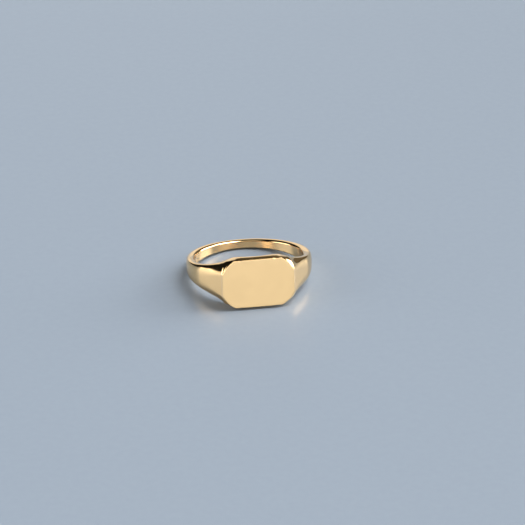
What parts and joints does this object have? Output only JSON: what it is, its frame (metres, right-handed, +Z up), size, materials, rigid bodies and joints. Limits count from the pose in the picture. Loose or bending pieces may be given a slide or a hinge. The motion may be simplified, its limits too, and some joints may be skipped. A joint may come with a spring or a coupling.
{
  "type": "signet ring",
  "caption": "Polished gold signet ring with a plain flat oblong face, cut corners and shoulders that taper into a slim band.",
  "frame": {"origin": "on the surface that the ring lies on, under the middle of the ring's box", "axes": "+Z up, +X across the ring to the right seen from the face, -Y the way the face looks; the ring lies tipped by 10.5 degrees on its head's underside and the back of its band"},
  "size_m": [0.02, 0.0202, 0.0082],
  "materials": {
    "polished_gold": "mirror-polished yellow gold",
    "gold_solder": "polished gold hard solder, slightly paler"
  },
  "bodies": {
    "root": {"signet_table": "polished_gold", "table_solder": "gold_solder", "head": "polished_gold", "head_solder_left": "gold_solder", "head_solder_right": "gold_solder", "shoulder_left": "polished_gold", "shoulder_right": "polished_gold", "shank_solder_left": "gold_solder", "shank_solder_right": "gold_solder", "shank": "polished_gold"}
  },
  "joints": []
}
